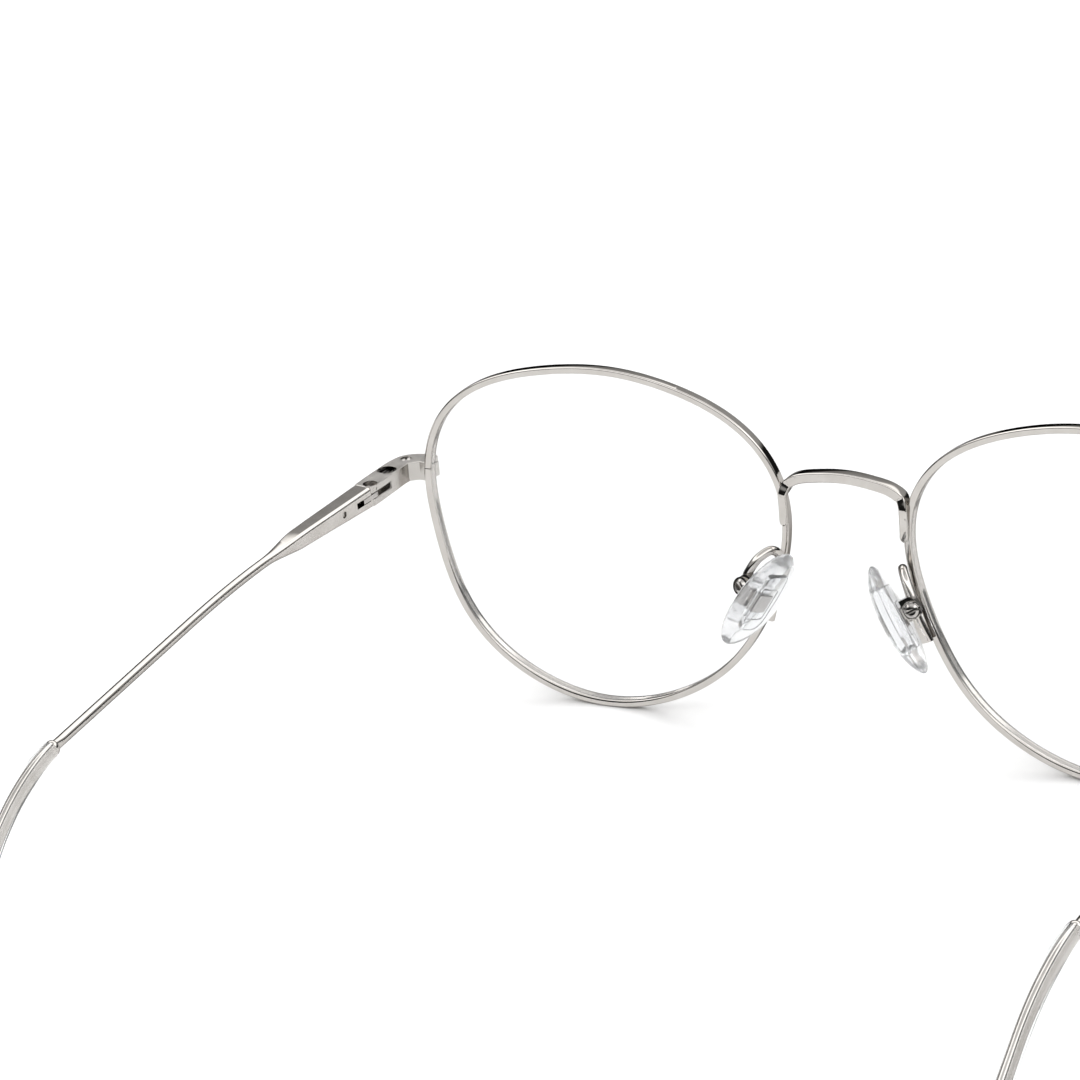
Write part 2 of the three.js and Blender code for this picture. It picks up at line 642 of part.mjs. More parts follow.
function hingeSpring() {
  return sweep(new SpringLine(), 5, SPRING_TURNS * 8, round(SPRING_WIRE), new THREE.Vector3(0, 1, 0));
}

// ---- Temple and its clear tip -------------------------------------------------------------------

const TAPER_START = 16;           // where the spring housing starts to narrow to the wire
const BOX_END = 24;               // and is the wire from here on
const TEMPLE_START = SEAM + 0.06;
const BOW_START = 8;              // where the temple starts to bow inwards
const BOW_BLEND = 38;
const BOW_SLOPE = 0.176;

function bow(y) {
  const along = Math.max(0, y - BOW_START);
  const share = along / BOW_BLEND;
  return share < 1
    ? BOW_SLOPE * BOW_BLEND * share ** 3 * (1 - share / 2)
    : BOW_SLOPE * (along - BOW_BLEND / 2);
}

// Side view of the temple's middle line: straight, then bent down behind the ear.
const STRAIGHT_TIP = TEMPLE_LENGTH - 1.5 - EAR_BEND_START - EAR_BEND_RADIUS * EAR_BEND_ANGLE;
const sideLine = new THREE.Path()
  .moveTo(TEMPLE_START, 0)
  .lineTo(EAR_BEND_START, 0)
  .absarc(EAR_BEND_START, -EAR_BEND_RADIUS, EAR_BEND_RADIUS, Math.PI / 2, Math.PI / 2 - EAR_BEND_ANGLE, true)
  .lineTo(
    EAR_BEND_START + EAR_BEND_RADIUS * Math.sin(EAR_BEND_ANGLE) + STRAIGHT_TIP * Math.cos(EAR_BEND_ANGLE),
    -EAR_BEND_RADIUS * (1 - Math.cos(EAR_BEND_ANGLE)) - STRAIGHT_TIP * Math.sin(EAR_BEND_ANGLE),
  );
const LINE_LENGTH = sideLine.getLength();

// A stretch of the temple's middle line, between two distances along it.
class TempleLine extends THREE.Curve {
  constructor(start, end) {
    super();
    this.start = start;
    this.end = end;
    this.arcLengthDivisions = 60;
  }

  getPoint(t, target = new THREE.Vector3()) {
    const distance = this.start + t * (this.end - this.start);
    const place = sideLine.getPointAt(THREE.MathUtils.clamp(distance / LINE_LENGTH, 0, 1));
    return target.set(BAR_MIDDLE - bow(place.x), place.x, place.y);
  }
}

const SIDEWAYS = new THREE.Vector3(1, 0, 0);
const blend = (from, to, share) => THREE.MathUtils.lerp(from, to, THREE.MathUtils.smoothstep(share, 0, 1));

// The spring housing narrows to the wire, and the wire is flattened inside the tip.
function templeSize(distance) {
  const y = distance + TEMPLE_START;
  const narrowing = (y - TAPER_START) / (BOX_END - TAPER_START);
  const flattening = (y - SLEEVE_START + 3) / 3;
  const halfThick = (BAR_OUTER - BAR_INNER) / 2 - 0.012 * (y - SEAM);
  const halfTall = BAR_HALF_HEIGHT - 0.026 * (y - SEAM);
  return {
    halfWidth: blend(blend(halfThick, WIRE_RADIUS, narrowing), 0.4, flattening),
    halfHeight: blend(blend(halfTall, WIRE_RADIUS, narrowing), 0.75, flattening),
    squareness: blend(0.9, 0, narrowing),
  };
}

function templeArm() {
  const end = SLEEVE_START - TEMPLE_START + CORE_LENGTH;
  const straight = new TempleLine(0, BOX_END - TEMPLE_START);
  const rest = new TempleLine(BOX_END - TEMPLE_START - 0.2, end);
  const sizeOn = (line) => (t) => templeSize(line.start + t * (line.end - line.start));
  const housing = sweep(straight, 16, 12, sizeOn(straight), SIDEWAYS);
  const wire = sweep(rest, 10, 34, sizeOn(rest), SIDEWAYS);
  const half = SLOT_HEIGHT / 2;
  const slot = block(BAR_INNER - 1, BAR_INNER + SLOT_DEPTH, 0, SLOT_END, -half, half);
  const bore = rod(BORE_RADIUS, BUSH_START - 0.06, BORE_END, 14).translate(BAR_MIDDLE, 0, 0);
  const mouth = block(BAR_MIDDLE - 0.4, BAR_MIDDLE + 0.4, SLOT_END - 1, BUSH_START + 0.1, -0.38, 0.38);
  const catchHole = rod(CATCH_PIN_RADIUS + FIT, -5, BAR_MIDDLE)
    .rotateZ(-Math.PI / 2)
    .translate(0, CATCH_PIN_Y, 0);
  return cut(join(housing, wire), slot, bore, mouth, catchHole);
}

function tipSize(t) {
  const growth = THREE.MathUtils.smoothstep(t, 0, 0.12);
  const paddle = THREE.MathUtils.smoothstep(t, 0.25, 0.75);
  const ending = Math.sqrt(Math.max(0.04, 1 - Math.max(0, (t - 0.93) / 0.07) ** 2));
  return {
    halfWidth: (1.05 + 0.15 * growth) * ending,
    halfHeight: (1.1 + 0.25 * growth + 1.0 * paddle) * ending,
    squareness: 0.25 * growth,
  };
}

function templeTip() {
  const start = SLEEVE_START - TEMPLE_START;
  const outside = sweep(new TempleLine(start, LINE_LENGTH), 12, 22, tipSize, SIDEWAYS);
  const room = () => ({ halfWidth: 0.4 + FIT, halfHeight: 0.75 + FIT, squareness: 0 });
  const core = new TempleLine(start - 1, start + CORE_LENGTH + 0.2);
  return cut(outside, sweep(core, 8, 18, room, SIDEWAYS));
}

// A thin ring of metal around the wire where the clear tip starts.
function tipCollar() {
  const start = SLEEVE_START - TEMPLE_START;
  const line = new TempleLine(start - 0.75, start - 0.05);
  const size = () => ({ halfWidth: 0.95, halfHeight: 1.02, squareness: 0 });
  const wide = new TempleLine(start - 2, start + 1);
  const room = (t) => {
    const { halfWidth, halfHeight } = templeSize(wide.start + t * (wide.end - wide.start));
    return { halfWidth: halfWidth + FIT, halfHeight: halfHeight + FIT, squareness: 0 };
  };
  return cut(sweep(line, 14, 2, size, SIDEWAYS), sweep(wide, 12, 6, room, SIDEWAYS));
}

// ---- Assembly -----------------------------------------------------------------------------------

const PIECES = [
  ['rim', rimGeometry, silver, lensFrame],
  ['lens', lensGeometry, lensClear, lensFrame],
  ['pad_arm', padArm, silver, front],
  ['pad_box', padBox, silver, padFrame],
  ['pad_screw', padScrew, steel, padFrame],
  ['pad_insert', padInsert, steel, padFrame],
  ['nose_pad', nosePad, softClear, padFrame],
  ['endpiece', endpieceGeometry, silver, hingeFrame],
  ['closing_block', closingBlockGeometry, silver, hingeFrame],
  ['rim_lock_screw', lockScrewGeometry, steel, hingeFrame],
  ['cover_screw', coverScrewGeometry, steel, hingeFrame],
  ['hinge_screw', hingeScrewGeometry, steel, hingeFrame],
  ['hinge_washer', hingeWasher, steel, hingeFrame],
  ['hinge_tongue', hingeTongue, steel, hingeFrame],
  ['hinge_bush', hingeBush, steel, hingeFrame],
  ['hinge_spring', hingeSpring, steel, hingeFrame],
  ['catch_pin', catchPin, steel, hingeFrame],
  ['temple_arm', templeArm, silver, hingeFrame],
  ['tip_collar', tipCollar, silver, hingeFrame],
  ['temple_tip', templeTip, softClear, hingeFrame],
];

function piece(name, geometry, material) {
  const mesh = new THREE.Mesh(geometry.toNonIndexed(), material);
  mesh.geometry.computeVertexNormals();
  mesh.name = name;
  return mesh;
}

const standing = new THREE.Group();
standing.rotation.x = STAND_LEAN;
standing.add(piece('bridge', bridgeGeometry(), silver));

for (const [name, make, material, frame] of PIECES) {
  const left = cleaned(moved(make(), frame, front));
  standing.add(piece(`${name}_left`, left, material));
  standing.add(piece(`${name}_right`, mirrored(left), material));
}

// The origin is the middle of the footprint, on the surface that the glasses stand on.
const glasses = new THREE.Group();
glasses.add(standing);
glasses.updateMatrixWorld(true);
const extent = new THREE.Box3().setFromObject(glasses, true);
standing.position.y = -(extent.min.y + extent.max.y) / 2;
standing.position.z = -extent.min.z;
glasses.updateMatrixWorld(true);

export default glasses;
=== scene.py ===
"""Round wire eyeglasses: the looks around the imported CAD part. Shapes are drawn in millimetres in the part's
own frames and placed in metres in the row frame."""

import json
import math

import bmesh
import bpy
from mathutils import Matrix, Vector


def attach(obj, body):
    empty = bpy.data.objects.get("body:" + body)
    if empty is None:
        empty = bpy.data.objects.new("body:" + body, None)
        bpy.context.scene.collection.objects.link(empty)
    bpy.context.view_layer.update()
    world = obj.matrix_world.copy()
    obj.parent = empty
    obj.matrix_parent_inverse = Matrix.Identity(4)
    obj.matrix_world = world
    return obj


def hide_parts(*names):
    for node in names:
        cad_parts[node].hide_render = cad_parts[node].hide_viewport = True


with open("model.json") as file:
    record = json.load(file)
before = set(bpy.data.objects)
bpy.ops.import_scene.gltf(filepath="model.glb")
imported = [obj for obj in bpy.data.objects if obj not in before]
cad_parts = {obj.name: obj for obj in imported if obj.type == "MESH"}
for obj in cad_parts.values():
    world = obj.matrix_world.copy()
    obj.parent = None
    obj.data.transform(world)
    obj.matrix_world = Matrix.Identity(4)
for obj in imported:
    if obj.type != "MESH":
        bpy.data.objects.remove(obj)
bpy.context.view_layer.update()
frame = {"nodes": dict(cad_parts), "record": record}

# ---- Dimensions of the part, in millimetres ------------------------------------------------------

MM = 0.001
FIT = 0.05
RIM_RADIUS = 25.08
RIM_WAVES = ((2, 1.02, -0.13), (3, -0.29, 1.17), (4, -0.37, -0.06), (5, -0.09, 0.2), (6, -0.19, -0.06))
BASE_RADIUS = 132
WRAP = math.radians(3.15)
LENS_CENTRE_X = 35.22
RIM_WIDTH, RIM_DEPTH = 0.95, 1.68
GROOVE_DEPTH, GROOVE_WIDTH = 0.32, 0.7
LENS_THICKNESS = 1.7
LOCK_ANGLE, LOCK_GAP, LOCK_SLANT = math.radians(15.6), 0.12, math.radians(22)

HINGE = (64.75, 12.92, 5.65)
FLARE, DROP = math.radians(6.7), math.radians(3.2)
BAR_INNER, BAR_OUTER = -1.0, 1.75
BAR_MIDDLE = (BAR_INNER + BAR_OUTER) / 2
BAR_HALF_HEIGHT = 1.44
SEAM = 1.25
TEMPLE_START = SEAM + 0.06
TEMPLE_LENGTH = 135
WIRE_RADIUS = 0.66
EAR_BEND_START, EAR_BEND_RADIUS, EAR_BEND_ANGLE = 76.5, 26, math.radians(37)
SLEEVE_START, CORE_LENGTH = 77.5, 38
BOW_START, BOW_BLEND, BOW_SLOPE = 8, 38, 0.176
TAPER_START, BOX_END = 16, 24
HOUSING_THINNING, HOUSING_LOWERING = 0.012, 0.026  # per millimetre along the housing
HOUSING_CORNER, HOUSING_INNER_TOP = 0.34, 0.5
CORE_HALF_WIDTH, CORE_HALF_HEIGHT = 0.4, 0.75
SLOT_HEIGHT, SLOT_DEPTH, SLOT_END = 0.86, 2.2, 4.45
BUSH_START, BORE_RADIUS, BORE_END = 4.8, 0.8, 16
CATCH_PIN_Y, CATCH_HOLE_RADIUS = 7.3, 0.47

PAD_CENTRE = (9.8, 8.58, -3.81)
PAD_LENGTH, PAD_WIDTH, PAD_FRONT, PAD_BACK_FACE = 15.4, 9.2, 1.95, 1.15
PAD_DOWN = Vector((0.52, 0.1, -0.85)).normalized()
PAD_BACK = Vector((0.25, 0.93, 0.27))
PAD_ARM_RADIUS = 0.61
PAD_ARM_LINE = (
    (11.35, 2.6, -8.95), (10.2, 2.9, -5.8), (9.1, 3.2, -1.7), (8.8, 3.9, 0.9),
    (9.3, 5.2, 1.95), (10.45, 6.95, 1.25), (11.6, 7.65, -0.6), (11.74, 7.71, -0.9),
)

BRIDGE_HALF_DEPTH, BRIDGE_HALF_HEIGHT, BRIDGE_TOP = 0.95, 0.68, 12.15
FOOT_WIDTH, FOOT_THICKNESS = 1.12, 0.8
FOOT_X = 8.5
BRIDGE_CORNER = 0.19
BEND_TOP, BEND_DEPTH = 10.6, 1.7  # where the bar starts to bend down, and over what drop
FOOT_STEPS = ((0.0, 9.0), (0.02, 7.5), (0.02, 6.0), (0.0, 5.2), (0.0, 4.6))  # sideways step, height

# ---- Frames --------------------------------------------------------------------------------------

STANDING = Matrix.Translation((0, -68.392637, 25.223417)) @ Matrix.Rotation(math.radians(2.46), 4, "X")
FRONT = Matrix.Identity(4)
LENS = Matrix.Translation((LENS_CENTRE_X, 0, 0)) @ Matrix.Rotation(WRAP, 4, "Z")
BAR = Matrix.Translation(HINGE) @ Matrix.Rotation(-DROP, 4, "X") @ Matrix.Rotation(-FLARE, 4, "Z")
pad_face = PAD_DOWN.cross(PAD_BACK).normalized()
pad_back = pad_face.cross(PAD_DOWN).normalized()
PAD = Matrix.Translation(PAD_CENTRE) @ Matrix((pad_back, pad_face, PAD_DOWN)).transposed().to_4x4()
MIRROR = {"left": Matrix.Identity(4), "right": Matrix.Diagonal((-1, 1, 1, 1))}


def to_row(local, side="left"):
    """The matrix from one of the frames above, on one side, to the row frame in metres."""
    return Matrix.Scale(MM, 4) @ STANDING @ MIRROR[side] @ local


# ---- Mesh helpers --------------------------------------------------------------------------------

def finished(bm, name, matrix, sharp=30):
    """An object from a bmesh in local millimetres, smooth but for its sharp edges, with its faces out."""
    bmesh.ops.transform(bm, matrix=matrix, verts=bm.verts)
    bmesh.ops.recalc_face_normals(bm, faces=bm.faces)
    mesh = bpy.data.meshes.new(name)
    bm.to_mesh(mesh)
    bm.free()
    return dressed(mesh, name, sharp)


def dressed(mesh, name, sharp):
    mesh.polygons.foreach_set("use_smooth", [True] * len(mesh.polygons))
    mesh.set_sharp_from_angle(angle=math.radians(sharp))
    made = bpy.data.objects.new(name, mesh)
    bpy.context.scene.collection.objects.link(made)
    return made


def evened(piece, sharp=30):
    """Flat faces shade flat, and the light rolls off only over the rounded edges."""
    piece.data.set_sharp_from_angle(angle=math.radians(sharp))
    change = piece.modifiers.new("normals", "WEIGHTED_NORMAL")
    change.mode = "FACE_AREA"
    change.weight = 100
    change.keep_sharp = True
    return applied(piece)


def skinned(rings):
    """A bmesh skin over rings of points, capped at both ends."""
    bm = bmesh.new()
    loops = [[bm.verts.new(point) for point in ring] for ring in rings]
    for first, second in zip(loops, loops[1:]):
        for i, vertex in enumerate(first):
            j = (i + 1) % len(first)
            bm.faces.new((vertex, first[j], second[j], second[i]))
    bm.faces.new(loops[0])
    bm.faces.new(loops[-1])
    return bm


def filleted(corners, steps=6):
    """A closed outline through (x, y, radius) corners, each rounded by its radius."""
    points = []
    for i, (x, y, radius) in enumerate(corners):
        here = Vector((x, y))
        before = (Vector(corners[i - 1][:2]) - here).normalized()
        after = (Vector(corners[(i + 1) % len(corners)][:2]) - here).normalized()
        half = before.angle(after) / 2
        reach = radius / math.tan(half)
        centre = here + (before + after).normalized() * (radius / math.sin(half))
        start = here + before * reach - centre
        end = here + after * reach - centre
        turn = start.angle_signed(end) * -1
        for k in range(steps + 1):
            points.append(centre + Matrix.Rotation(turn * k / steps, 2) @ start)
    return points


def catmull_rom(points, count):
    """Evenly spaced points on a centripetal Catmull-Rom curve."""
    points = [Vector(p) for p in points]
    ends = [2 * points[0] - points[1]] + points + [2 * points[-1] - points[-2]]
    dense = []
    for i in range(len(points) - 1):
        p0, p1, p2, p3 = ends[i:i + 4]
        d0, d1, d2 = ((b - a).length ** 0.5 for a, b in ((p0, p1), (p1, p2), (p2, p3)))
        m1 = ((p1 - p0) / d0 - (p2 - p0) / (d0 + d1) + (p2 - p1) / d1) * d1
        m2 = ((p2 - p1) / d1 - (p3 - p1) / (d1 + d2) + (p3 - p2) / d2) * d1
        for k in range(40):
            t = k / 40
            bend = (3 * (p2 - p1) - 2 * m1 - m2) * t**2
            dense.append(p1 + m1 * t + bend + (2 * (p1 - p2) + m1 + m2) * t**3)
    return evenly(dense + [points[-1]], count)


def evenly(points, count):
    lengths = [0.0]
    for a, b in zip(points, points[1:]):
        lengths.append(lengths[-1] + (b - a).length)
    spaced, k = [], 0
    for i in range(count):
        goal = lengths[-1] * i / (count - 1)
        while k < len(points) - 2 and lengths[k + 1] < goal:
            k += 1
        share = (goal - lengths[k]) / (lengths[k + 1] - lengths[k])
        spaced.append(points[k].lerp(points[k + 1], share))
    return spaced


def swept(points, sideways, section):
    """Rings along a line. section(share) gives 2-D points, across along `sideways` and upwards."""
    rings = []
    sideways = Vector(sideways)
    for i, point in enumerate(points):
        tangent = (points[min(i + 1, len(points) - 1)] - points[max(i - 1, 0)]).normalized()
        side = (sideways - tangent * sideways.dot(tangent)).normalized()
        up = side.cross(tangent)
        rings.append([point + side * x + up * y for x, y in section(i / (len(points) - 1))])
    return rings


def box_section(half_width, half_height, radius, inner_top=None):
    inner_top = radius if inner_top is None else inner_top
    return filleted([
        (half_width, -half_height, radius), (half_width, half_height, radius),
        (-half_width, half_height, inner_top), (-half_width, -half_height, radius),
    ])


def oval(half_width, half_height, count=40):
    turns = (2 * math.pi * k / count for k in range(count))
    return [(half_width * math.cos(a), half_height * math.sin(a)) for a in turns]


def carved(base, *cutters):
    """base with the cutters taken out of it; the cutters are used up."""
    for cutter in cutters:
        change = base.modifiers.new("cut", "BOOLEAN")
        change.operation = "DIFFERENCE"
        change.solver = "EXACT"
        change.object = cutter
        applied(base)
        bpy.data.objects.remove(cutter)
    return base


def applied(piece):
    """Bakes a piece's modifiers into its mesh."""
    graph = bpy.context.evaluated_depsgraph_get()
    mesh = bpy.data.meshes.new_from_object(piece.evaluated_get(graph))
    piece.modifiers.clear()
    piece.data = mesh
    return piece


def block(x, y, z, matrix):
    bm = bmesh.new()
    bmesh.ops.create_cube(bm, size=1)
    centre = Vector(((x[0] + x[1]) / 2, (y[0] + y[1]) / 2, (z[0] + z[1]) / 2))
    shape = Matrix.Translation(centre) @ Matrix.Diagonal((x[1] - x[0], y[1] - y[0], z[1] - z[0], 1))
    return finished(bm, "cutter", matrix @ shape)


def drill(radius, start, end, matrix):
    """A cutter from one point to another."""
    start, end = Vector(start), Vector(end)
    line = end - start
    rings = []
    for share in (0, 1):
        centre = start + line * share
        side = line.orthogonal().normalized()
        other = line.normalized().cross(side)
        turns = (2 * math.pi * k / 40 for k in range(40))
        rings.append([centre + side * (radius * math.cos(a)) + other * (radius * math.sin(a)) for a in turns])
    return finished(skinned(rings), "cutter", matrix)


# ---- Materials -----------------------------------------------------------------------------------

def node(tree, kind, **values):
    made = tree.nodes.new(kind)
    for key, value in values.items():
        made.inputs[key.replace("_", " ")].default_value = value
    return made


CLOUD_SCALE = 420.0  # of the wandering roughness, per metre


def surface(name, colour, roughness, grain, **sockets):
    """A principled material whose roughness wanders and whose surface has a fine grain.
    roughness is (low, high); grain is (size in mm, stretch along Y, depth in mm)."""
    material = bpy.data.materials.new(name)
    material.use_nodes = True
    tree = material.node_tree
    shader = tree.nodes["Principled BSDF"]
    for key, value in sockets.items():
        shader.inputs[key.replace("_", " ")].default_value = value
    place = tree.nodes.new("ShaderNodeTexCoord")

    cloud = node(tree, "ShaderNodeTexNoise", Scale=CLOUD_SCALE, Detail=4.0, Roughness=0.6)
    tree.links.new(place.outputs["Object"], cloud.inputs["Vector"])
    low, high = roughness
    spread = node(tree, "ShaderNodeMapRange", From_Min=0.35, From_Max=0.7, To_Min=low, To_Max=high)
    tree.links.new(cloud.outputs["Fac"], spread.inputs["Value"])
    tree.links.new(spread.outputs["Result"], shader.inputs["Roughness"])

    tint = tree.nodes.new("ShaderNodeValToRGB")
    for element, shade in zip(tint.color_ramp.elements, colour):
        element.color = (*shade, 1)
    tint.color_ramp.elements[0].position = 0.3
    tint.color_ramp.elements[1].position = 0.75
    tree.links.new(cloud.outputs["Fac"], tint.inputs["Fac"])
    tree.links.new(tint.outputs["Color"], shader.inputs["Base Color"])

    size, stretch, depth = grain
    scaled = tree.nodes.new("ShaderNodeMapping")
    scaled.inputs["Scale"].default_value = (1 / size / MM, 1 / (size * stretch) / MM, 1 / size / MM)
    tree.links.new(place.outputs["Object"], scaled.inputs["Vector"])
    fine = node(tree, "ShaderNodeTexNoise", Scale=1.0, Detail=3.0)
    tree.links.new(scaled.outputs["Vector"], fine.inputs["Vector"])
    relief = node(tree, "ShaderNodeBump", Strength=1.0, Distance=depth * MM)
    tree.links.new(fine.outputs["Fac"], relief.inputs["Height"])
    tree.links.new(relief.outputs["Normal"], shader.inputs["Normal"])
    return material


PAINTED_EDGE_SHADE_TINT = (0.12, 0.12, 0.12, 1)  # painted shade: a near-black specular tint paints dark edges where the metal turns away
# Specular_Tint carries painted shade: dark edges on the polished silver
SILVER = surface(
    "polished_silver", ((0.53, 0.505, 0.475), (0.60, 0.575, 0.55)), (0.04, 0.08), (0.5, 5, 0.0003),
    Metallic=1.0, Specular_Tint=PAINTED_EDGE_SHADE_TINT,
)
SATIN = surface(
    "satin_silver", ((0.47, 0.45, 0.425), (0.54, 0.52, 0.495)), (0.16, 0.26), (0.12, 1, 0.0006), Metallic=1.0,
)
# Specular_Tint carries painted shade: dark edges on the turned steel
STEEL = surface(
    "turned_steel", ((0.46, 0.44, 0.42), (0.54, 0.52, 0.50)), (0.07, 0.14), (0.08, 1, 0.0005), Metallic=1.0,
    Specular_Tint=PAINTED_EDGE_SHADE_TINT,
)
SOFT_CLEAR = surface(
    "clear_silicone", ((0.93, 0.94, 0.95), (0.97, 0.975, 0.98)), (0.05, 0.16), (0.6, 1, 0.004),
    Transmission_Weight=0.9, IOR=1.36,
)
TIP_CLEAR = surface(
    "clear_tip", ((0.94, 0.95, 0.955), (0.98, 0.985, 0.985)), (0.02, 0.06), (3, 4, 0.004),
    Transmission_Weight=1.0, IOR=1.4,
)
CORE_CLEAR = surface(
    "clear_core", ((0.95, 0.96, 0.97), (0.98, 0.985, 0.99)), (0.02, 0.06), (0.8, 1, 0.002),
    Transmission_Weight=1.0, IOR=1.5,
)
LENS_CLEAR = surface(
    "clear_lens", ((0.96, 0.97, 0.97), (0.99, 0.995, 0.995)), (0.01, 0.05), (6, 1, 0.0002),
    Alpha=0.07, IOR=1.5,
)
SPECIAL = {"endpiece": SATIN, "closing_block": SATIN, "temple_tip": TIP_CLEAR}
FINISH = {
    "polished_metal": SILVER, "screw_steel": STEEL, "clear_silicone": SOFT_CLEAR, "clear_lens": LENS_CLEAR,
}
SLOTS = {row["node"]: row["material_slot"] for row in frame["record"]["subparts"]}
BODIES = {name: body for body, names in frame["record"]["behaviour"]["bodies"].items() for name in names}


def placed(piece, cad_node):
    """Gives a piece the finish that the CAD node's material slot calls for, and the node's body, and hides the
    CAD node that it stands for.
    """
    slot = SLOTS[cad_node]
    evened(piece)
    piece.name = cad_node + "_shape"
    piece.data.materials.clear()
    piece.data.materials.append(SPECIAL.get(cad_node.rpartition("_")[0], FINISH[slot]))
    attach(piece, BODIES[cad_node])
    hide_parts(cad_node)
    return piece


# ---- Rims and lenses -----------------------------------------------------------------------------

def rim_radius(angle):
    return RIM_RADIUS + sum(c * math.cos(n * angle) + s * math.sin(n * angle) for n, c, s in RIM_WAVES)


def rim_slope(angle):
    return sum(n * (s * math.cos(n * angle) - c * math.sin(n * angle)) for n, c, s in RIM_WAVES)


def rim_point(angle, outwards, depth):
    """A point beside the middle of the rim wire; depth is measured back from the lens surface."""
    radius, slope = rim_radius(angle), rim_slope(angle)
    length = math.hypot(radius, slope)
    radial = radius + outwards * radius / length
    around = -outwards * slope / length
    x = radial * math.cos(angle) - around * math.sin(angle)
    z = radial * math.sin(angle) + around * math.cos(angle)
    return Vector((x, depth + (x * x + z * z) / (2 * BASE_RADIUS), z))


def rim_rings():
    out, half, groove = RIM_WIDTH / 2, RIM_DEPTH / 2, GROOVE_WIDTH / 2
    outline = filleted([
        (out, -half, 0.3), (out, half, 0.3), (-out, half, 0.13), (-out, groove, 0.02),
        (GROOVE_DEPTH - out, 0, 0.03), (-out, -groove, 0.02), (-out, -half, 0.13),
    ])
    margin = LOCK_GAP / 2 / RIM_RADIUS
    steps = 360
    rings = []
    for i in range(steps + 1):
        share = i / steps
        turn = LOCK_ANGLE + margin + share * (2 * math.pi - 2 * margin)
        near_end = max(0.0, 1 - min(share, 1 - share) * 40)
        rings.append([
            rim_point(turn - near_end * y * math.tan(LOCK_SLANT) / RIM_RADIUS, x, y) for x, y in outline
        ])
    return rings


def lens_rings():
    half = LENS_THICKNESS / 2
    edge = RIM_RADIUS - RIM_WIDTH / 2 - 0.06
    ridge = edge + GROOVE_DEPTH - 0.06
    ridge_half = GROOVE_WIDTH / 2 - 0.06
    shares = [0.02] + [k / 16 for k in range(1, 16)]
    profile = [(edge * s, -half) for s in shares]
    profile += [(edge - 0.05, -half), (edge, -half + 0.05), (edge, -ridge_half), (ridge, 0)]
    profile += [(edge, ridge_half), (edge, half - 0.05), (edge - 0.05, half)]
    profile += [(edge * s, half) for s in reversed(shares)]
    rings = []
    for radius, depth in profile:
        ring = []
        for k in range(160):
            turn = 2 * math.pi * k / 160
            if radius > RIM_RADIUS * 0.9:
                ring.append(rim_point(turn, radius - RIM_RADIUS, depth))
            else:
                spread = rim_radius(turn) * radius / RIM_RADIUS
                x, z = spread * math.cos(turn), spread * math.sin(turn)
                ring.append(Vector((x, depth + (x * x + z * z) / (2 * BASE_RADIUS), z)))
        rings.append(ring)
    return rings


# ---- Bridge --------------------------------------------------------------------------------------

def behind_lens(x, z, depth):
    """The point of the front's frame at x and z that lies `depth` behind the left lens surface."""
    across = x - LENS_CENTRE_X
    for _ in range(6):
        back = depth + (across * across + z * z) / (2 * BASE_RADIUS)
        across = (x - LENS_CENTRE_X + back * math.sin(WRAP)) / math.cos(WRAP)
    return Vector((x, across * math.sin(WRAP) + back * math.cos(WRAP), z))


def make_bridge():
    """The bar bends down at both ends, narrows to a flat foot behind the rim, and ends round."""
    foot_depth = RIM_DEPTH / 2 + FIT / 2 + FOOT_THICKNESS / 2
    foot = [behind_lens(FOOT_X + lean, z, foot_depth) for lean, z in FOOT_STEPS]
    half = [Vector(p) for p in ((3.6, 1.75, BRIDGE_TOP - 0.28), (6.6, 1.85, 11.25), (8.0, 1.9, 10.3))] + foot
    line = [Vector((-p.x, p.y, p.z)) for p in reversed(half)] + [Vector((0, 1.7, BRIDGE_TOP))] + half
    points = catmull_rom(line, 320)
    tips = iter(points)
    bottom = foot[-1].z

    def section(share):
        above = next(tips).z - bottom
        bent = smooth(BEND_TOP - bottom - above, 0, BEND_DEPTH)
        across = mixed(BRIDGE_HALF_HEIGHT, FOOT_WIDTH / 2, bent)
        if above < FOOT_WIDTH / 2:
            across *= math.sqrt(max(0.02, 1 - (1 - above / (FOOT_WIDTH / 2)) ** 2))
        depth = mixed(BRIDGE_HALF_DEPTH, FOOT_THICKNESS / 2, bent)
        return box_section(depth, across, min(BRIDGE_CORNER, across * 0.9))

    return finished(skinned(swept(points, (0, 1, 0), section)), "bridge", to_row(FRONT))


# ---- Temple, collar and clear tip ----------------------------------------------------------------

STRAIGHT_TIP = TEMPLE_LENGTH - 1.5 - EAR_BEND_START - EAR_BEND_RADIUS * EAR_BEND_ANGLE


def temple_point(distance):
    """A point of the temple's middle line, in the hinge frame, by the distance along it."""
    run = distance - (EAR_BEND_START - TEMPLE_START)
    if run <= 0:
        y, z = TEMPLE_START + distance, 0.0
    else:
        turn = min(run / EAR_BEND_RADIUS, EAR_BEND_ANGLE)
        rest = max(0.0, run - EAR_BEND_RADIUS * EAR_BEND_ANGLE)
        y = EAR_BEND_START + EAR_BEND_RADIUS * math.sin(turn) + rest * math.cos(turn)
        z = -EAR_BEND_RADIUS * (1 - math.cos(turn)) - rest * math.sin(turn)
    along = max(0.0, y - BOW_START)
    share = along / BOW_BLEND
    bow = (BOW_SLOPE * BOW_BLEND * share**3 * (1 - share / 2) if share < 1
           else BOW_SLOPE * (along - BOW_BLEND / 2))
    return Vector((BAR_MIDDLE - bow, y, z))


LINE_LENGTH = EAR_BEND_START - TEMPLE_START + EAR_BEND_RADIUS * EAR_BEND_ANGLE + STRAIGHT_TIP


def smooth(value, low=0.0, high=1.0):
    share = min(1.0, max(0.0, (value - low) / (high - low)))
    return share * share * (3 - 2 * share)


def mixed(start, end, share):
    return start + (end - start) * share


